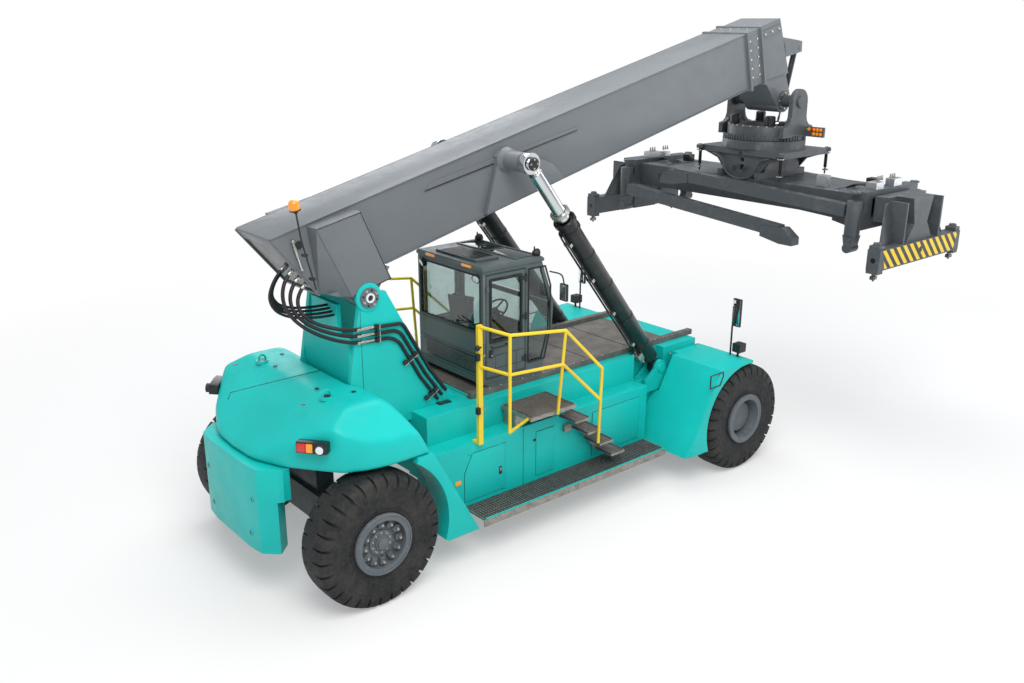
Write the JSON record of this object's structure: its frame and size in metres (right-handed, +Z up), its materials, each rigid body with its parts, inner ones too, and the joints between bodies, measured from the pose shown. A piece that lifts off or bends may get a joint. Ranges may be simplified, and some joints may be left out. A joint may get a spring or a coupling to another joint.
{
  "type": "reach stacker",
  "caption": "Container reach stacker: twin-wheel drive axle, steered rear axle, sliding cab, telescopic lifting boom and a slewing, telescoping spreader held level.",
  "frame": {"origin": "on the ground, at the centre of the whole machine's box in plan", "axes": "+X forward towards the spreader, +Y to the operator's left, +Z up"},
  "size_m": [11.2014, 6.053, 6.5497],
  "materials": {
    "teal_paint": "gloss",
    "grey_paint": "satin",
    "dark_grey_paint": "satin",
    "black_paint": "satin",
    "yellow_paint": "gloss",
    "cab_paint": "satin",
    "rim_paint": "satin",
    "chrome": "polished",
    "tread_rubber": "matte",
    "hose_rubber": "matte",
    "glass": "clear",
    "deck_steel": "worn",
    "black_plastic": "matte",
    "seat_fabric": "woven"
  },
  "bodies": {
    "chassis": {"chassis_frame": "teal_paint", "boom_tower": "teal_paint", "counterweight": "teal_paint", "counterweight_hood": "teal_paint", "rear_mudguards": "teal_paint", "front_fenders": "teal_paint", "side_cabinet_right": "teal_paint", "side_tank_left": "teal_paint", "running_boards": "deck_steel", "deck_plates": "deck_steel", "cab_rails": "deck_steel", "engine_block": "dark_grey_paint", "boarding_steps": "deck_steel", "handrails": "yellow_paint", "mirrors": "black_plastic", "steer_axle": "dark_grey_paint", "drive_axle": "dark_grey_paint", "tower_hoses": "hose_rubber", "boom_hose_runs": "hose_rubber", "boom_hose_loops": "hose_rubber"},
    "knuckle_left": {"knuckle_left": "dark_grey_paint"},
    "knuckle_right": {"knuckle_right": "dark_grey_paint"},
    "rear_wheel_left": {"rear_tyre_left": "tread_rubber", "rear_rim_left": "rim_paint"},
    "rear_wheel_right": {"rear_tyre_right": "tread_rubber", "rear_rim_right": "rim_paint"},
    "front_wheels_left": {"front_tyres_left": "tread_rubber", "front_rims_left": "rim_paint"},
    "front_wheels_right": {"front_tyres_right": "tread_rubber", "front_rims_right": "rim_paint"},
    "cab": {"cab_frame": "cab_paint", "cab_roof": "cab_paint", "cab_glass": "glass", "seat_base": "black_plastic", "seat_cushions": "seat_fabric", "cab_controls": "black_plastic"},
    "door_left": {"door_left": "cab_paint", "door_glass_left": "glass"},
    "door_right": {"door_right": "cab_paint", "door_glass_right": "glass"},
    "boom": {"boom_outer": "grey_paint"},
    "boom_slide": {"boom_inner": "grey_paint"},
    "lift_barrels": {"lift_barrels": "black_paint"},
    "lift_rods": {"lift_rods": "chrome"},
    "damper_barrel": {"damper_barrel": "black_paint"},
    "damper_rod": {"damper_rod": "chrome"},
    "yoke": {"rotator_yoke": "dark_grey_paint"},
    "slew": {"slew_frame": "dark_grey_paint", "slope_cylinders": "black_paint"},
    "spreader": {"spreader_frame": "dark_grey_paint", "piggyback_legs": "dark_grey_paint", "spreader_valves": "black_plastic"},
    "telescope_left": {"telescope_left": "dark_grey_paint"},
    "telescope_right": {"telescope_right": "dark_grey_paint"},
    "twistlock_rear_left": {"twistlock_rear_left": "chrome"},
    "twistlock_rear_right": {"twistlock_rear_right": "chrome"},
    "twistlock_front_left": {"twistlock_front_left": "chrome"},
    "twistlock_front_right": {"twistlock_front_right": "chrome"}
  },
  "joints": [
    {"name": "steer_right", "type": "hinge", "parent": "chassis", "child": "knuckle_right", "pos_m": [-4.54068, -1.15, 0.82], "axis": [0, 0, 1], "range_deg": [-40, 40]},
    {"name": "steer_left", "type": "hinge", "parent": "chassis", "child": "knuckle_left", "pos_m": [-4.54068, 1.15, 0.82], "axis": [0, 0, 1], "range_deg": [-40.01, 40.01]},
    {"name": "rear_wheel_spin_left", "type": "hinge", "parent": "knuckle_left", "child": "rear_wheel_left", "pos_m": [-4.54068, 1.44, 0.82], "axis": [0, 1, 0], "continuous": true},
    {"name": "front_wheel_spin_left", "type": "hinge", "parent": "chassis", "child": "front_wheels_left", "pos_m": [1.65932, 1.785, 0.82], "axis": [0, 1, 0], "continuous": true},
    {"name": "rear_wheel_spin_right", "type": "hinge", "parent": "knuckle_right", "child": "rear_wheel_right", "pos_m": [-4.54068, -1.44, 0.82], "axis": [0, 1, 0], "continuous": true},
    {"name": "front_wheel_spin_right", "type": "hinge", "parent": "chassis", "child": "front_wheels_right", "pos_m": [1.65932, -1.785, 0.82], "axis": [0, 1, 0], "continuous": true},
    {"name": "cab_slide", "type": "slide", "parent": "chassis", "child": "cab", "axis": [-1, 0, 0], "range_m": [-2.2, 0]},
    {"name": "door_right_swing", "type": "hinge", "parent": "cab", "child": "door_right", "pos_m": [-2.25568, -0.729, 2.7], "axis": [0, 0, -1], "range_deg": [0, 85]},
    {"name": "door_left_swing", "type": "hinge", "parent": "cab", "child": "door_left", "pos_m": [-2.25568, 0.729, 2.7], "axis": [0, 0, 1], "range_deg": [0, 85]},
    {"name": "boom_lift", "type": "hinge", "parent": "chassis", "child": "boom", "pos_m": [-3.94068, 0, 3.4], "axis": [0, -1, 0], "range_deg": [-14.43, 45.57], "deforming": ["boom_hose_runs", "boom_hose_loops"]},
    {"name": "boom_extend", "type": "slide", "parent": "boom", "child": "boom_slide", "axis": [-0.9685, 0, -0.2492], "range_m": [-6.2, 0]},
    {"name": "lift_barrel_swing", "type": "hinge", "parent": "chassis", "child": "lift_barrels", "pos_m": [0.81932, 0, 1.56], "axis": [0, -1, 0], "range_deg": [-1.15, 3.65]},
    {"name": "lift_rod_stroke", "type": "slide", "parent": "lift_barrels", "child": "lift_rods", "axis": [-0.6179, 0, 0.7863], "range_m": [-0.62632, 1.97794]},
    {"name": "yoke_level", "type": "hinge", "parent": "boom_slide", "child": "yoke", "pos_m": [4.40118, 0, 5.25117], "axis": [0, 1, 0], "range_deg": [-14.43, 45.57]},
    {"name": "damper_swing", "type": "hinge", "parent": "boom_slide", "child": "damper_barrel", "pos_m": [5.07921, 0, 6.07925], "axis": [0, -1, 0], "range_deg": [-13.67, 4.33]},
    {"name": "damper_stroke", "type": "slide", "parent": "damper_barrel", "child": "damper_rod", "axis": [-0.2415, 0, -0.9704], "range_m": [-0.08947, 0.28256]},
    {"name": "slew_turn", "type": "hinge", "parent": "yoke", "child": "slew", "pos_m": [4.40118, 0, 4.62], "axis": [0, 0, 1], "range_deg": [-105, 195]},
    {"name": "side_shift", "type": "slide", "parent": "slew", "child": "spreader", "axis": [0, 1, 0], "range_m": [-0.8, 0.8]},
    {"name": "telescope_left_reach", "type": "slide", "parent": "spreader", "child": "telescope_left", "axis": [0, 1, 0], "range_m": [0, 3.05]},
    {"name": "telescope_right_reach", "type": "slide", "parent": "spreader", "child": "telescope_right", "axis": [0, -1, 0], "range_m": [-0.0001, 3.0501]},
    {"name": "twistlock_rear_left_turn", "type": "hinge", "parent": "telescope_left", "child": "twistlock_rear_left", "pos_m": [3.27168, 2.9265, 3], "axis": [0, 0, 1], "range_deg": [0, 90]},
    {"name": "twistlock_rear_right_turn", "type": "hinge", "parent": "telescope_right", "child": "twistlock_rear_right", "pos_m": [3.27168, -2.9265, 3], "axis": [0, 0, 1], "range_deg": [-0.01, 90.01]},
    {"name": "twistlock_front_left_turn", "type": "hinge", "parent": "telescope_left", "child": "twistlock_front_left", "pos_m": [5.53068, 2.9265, 3], "axis": [0, 0, 1], "range_deg": [-0.01, 90.01]},
    {"name": "twistlock_front_right_turn", "type": "hinge", "parent": "telescope_right", "child": "twistlock_front_right", "pos_m": [5.53068, -2.9265, 3], "axis": [0, 0, 1], "range_deg": [-0.01, 90.01]}
  ],
  "couplings": [
    {"joint": "steer_left", "follows": "steer_right", "ratio": 1},
    {"joint": "lift_barrel_swing", "follows": "boom_lift", "ratio": 0.08},
    {"joint": "lift_rod_stroke", "follows": "boom_lift", "m_per_rad": 2.4866},
    {"joint": "yoke_level", "follows": "boom_lift", "ratio": 1},
    {"joint": "damper_swing", "follows": "boom_lift", "ratio": -0.3},
    {"joint": "damper_stroke", "follows": "boom_lift", "m_per_rad": 0.35523},
    {"joint": "telescope_right_reach", "follows": "telescope_left_reach", "ratio": 1},
    {"joint": "twistlock_rear_right_turn", "follows": "twistlock_rear_left_turn", "ratio": 1},
    {"joint": "twistlock_front_left_turn", "follows": "twistlock_rear_left_turn", "ratio": 1},
    {"joint": "twistlock_front_right_turn", "follows": "twistlock_rear_left_turn", "ratio": 1}
  ]
}
